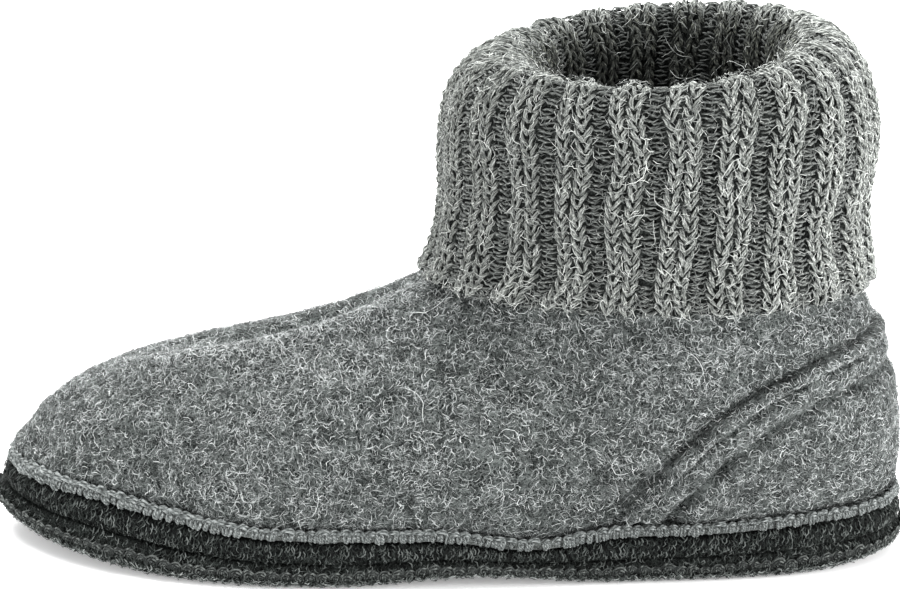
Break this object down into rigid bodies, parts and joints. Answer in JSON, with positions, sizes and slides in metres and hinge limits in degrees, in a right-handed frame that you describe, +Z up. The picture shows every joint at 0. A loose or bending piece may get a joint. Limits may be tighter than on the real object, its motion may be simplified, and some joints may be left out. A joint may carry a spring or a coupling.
{
  "type": "wool slipper",
  "caption": "Ankle-high left wool slipper: hollow felt upper with a heel counter, overlocked onto a layered dark sole, under a turned-down rib-knit cuff.",
  "frame": {"origin": "on the floor, under the middle of the sole's length and width", "axes": "+X from the toe to the heel, +Y towards the inner side of the foot, +Z up"},
  "size_m": [0.2758, 0.0993, 0.1631],
  "materials": {
    "outsole": "dark felted wool, lumpy, matt",
    "midsole": "dark knitted wool, matt",
    "insole": "grey wool felt, matt",
    "upper": "grey boiled wool with a curly nap, matt",
    "heel_counter": "grey boiled wool with a curly nap, matt",
    "seam_binding": "pale wool overlock yarn, matt",
    "cuff": "grey rib-knit wool, fuzzy, matt"
  },
  "bodies": {
    "root": {"outsole": "outsole", "midsole": "midsole", "insole": "insole", "upper": "upper", "heel_counter": "heel_counter", "seam_binding": "seam_binding", "cuff": "cuff"}
  },
  "joints": []
}
